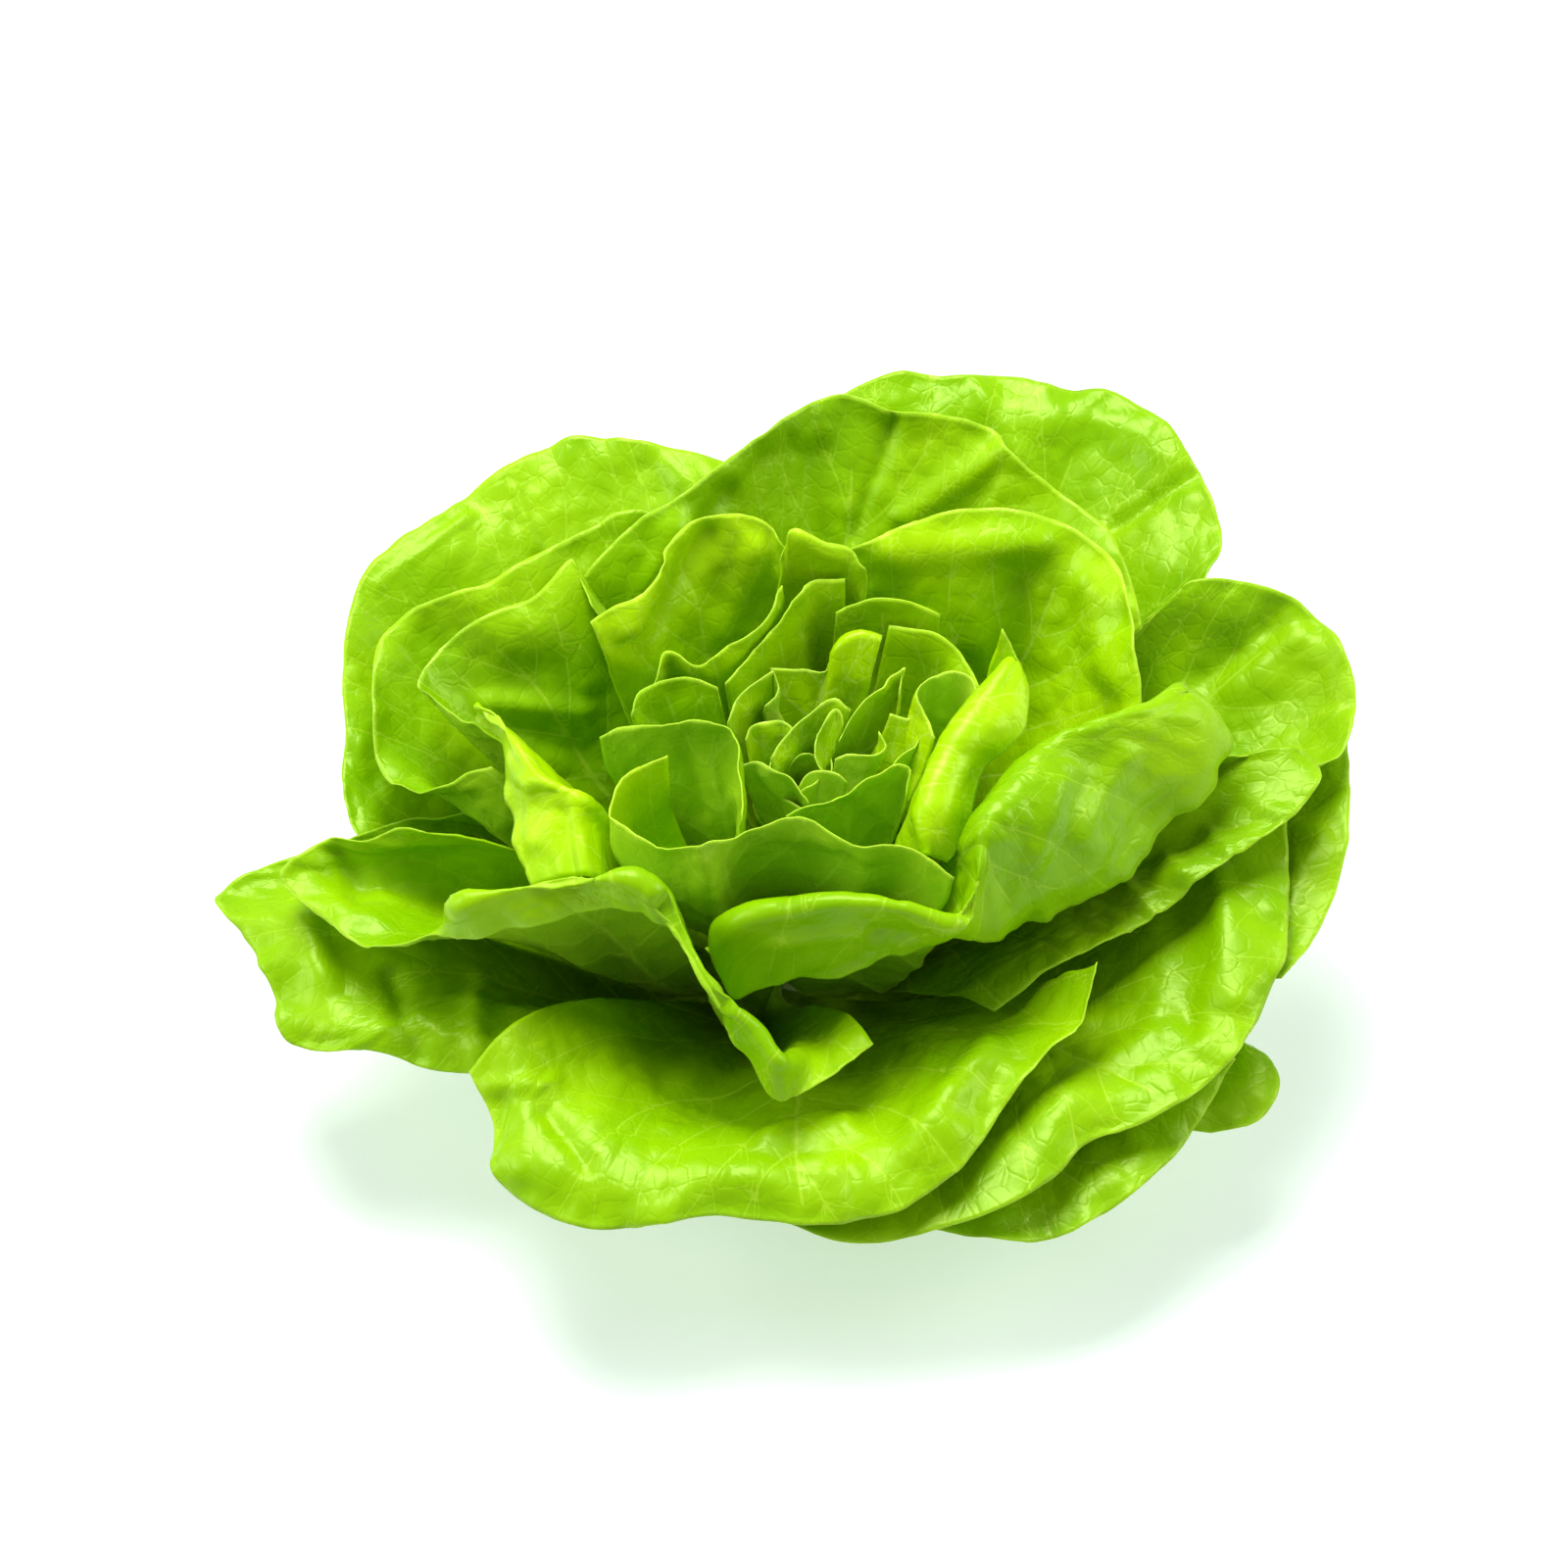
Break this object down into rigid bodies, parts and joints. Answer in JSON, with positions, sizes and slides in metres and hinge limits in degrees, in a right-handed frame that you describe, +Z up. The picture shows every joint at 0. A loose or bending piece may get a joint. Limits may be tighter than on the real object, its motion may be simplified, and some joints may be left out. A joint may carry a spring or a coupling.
{
  "type": "butterhead lettuce",
  "caption": "Open head of butterhead lettuce, cut at the stem: broad soft waved leaves nested round a loose heart.",
  "frame": {"origin": "centre of the cut stem face, which the head stands on", "axes": "+Z up along the stem, -Y towards the viewer of the picture, +X to that viewer's right"},
  "size_m": [0.2654, 0.2274, 0.1216],
  "materials": {
    "outer_leaf": "fresh green leaf, soft gloss",
    "inner_leaf": "fresh light green leaf, soft gloss",
    "heart_leaf": "young yellow-green leaf, soft gloss",
    "stem_flesh": "cut stem, moist and matte"
  },
  "bodies": {
    "root": {"heart": "heart_leaf", "leaf_back": "outer_leaf", "leaf_back_curl": "inner_leaf", "leaf_back_left_outer": "outer_leaf", "leaf_back_right_outer": "outer_leaf", "leaf_curl_inner": "inner_leaf", "leaf_curly_back": "inner_leaf", "leaf_front": "outer_leaf", "leaf_front_inner": "inner_leaf", "leaf_front_left_rolled": "outer_leaf", "leaf_front_middle": "inner_leaf", "leaf_front_right": "outer_leaf", "leaf_inner_left_back": "inner_leaf", "leaf_left_inner": "inner_leaf", "leaf_left_low": "outer_leaf", "leaf_left_middle": "inner_leaf", "leaf_left_pointed": "outer_leaf", "leaf_left_second": "outer_leaf", "leaf_low_front_right": "outer_leaf", "leaf_ribbon_back": "inner_leaf", "leaf_ribbon_inner": "inner_leaf", "leaf_right_outer": "outer_leaf", "leaf_right_rolled": "outer_leaf", "leaf_right_second": "outer_leaf", "leaf_right_spear": "inner_leaf", "leaf_right_upper": "outer_leaf", "leaf_small_right": "outer_leaf", "leaf_upper_left": "inner_leaf", "leaf_upper_right": "inner_leaf", "stem": "stem_flesh"}
  },
  "joints": []
}
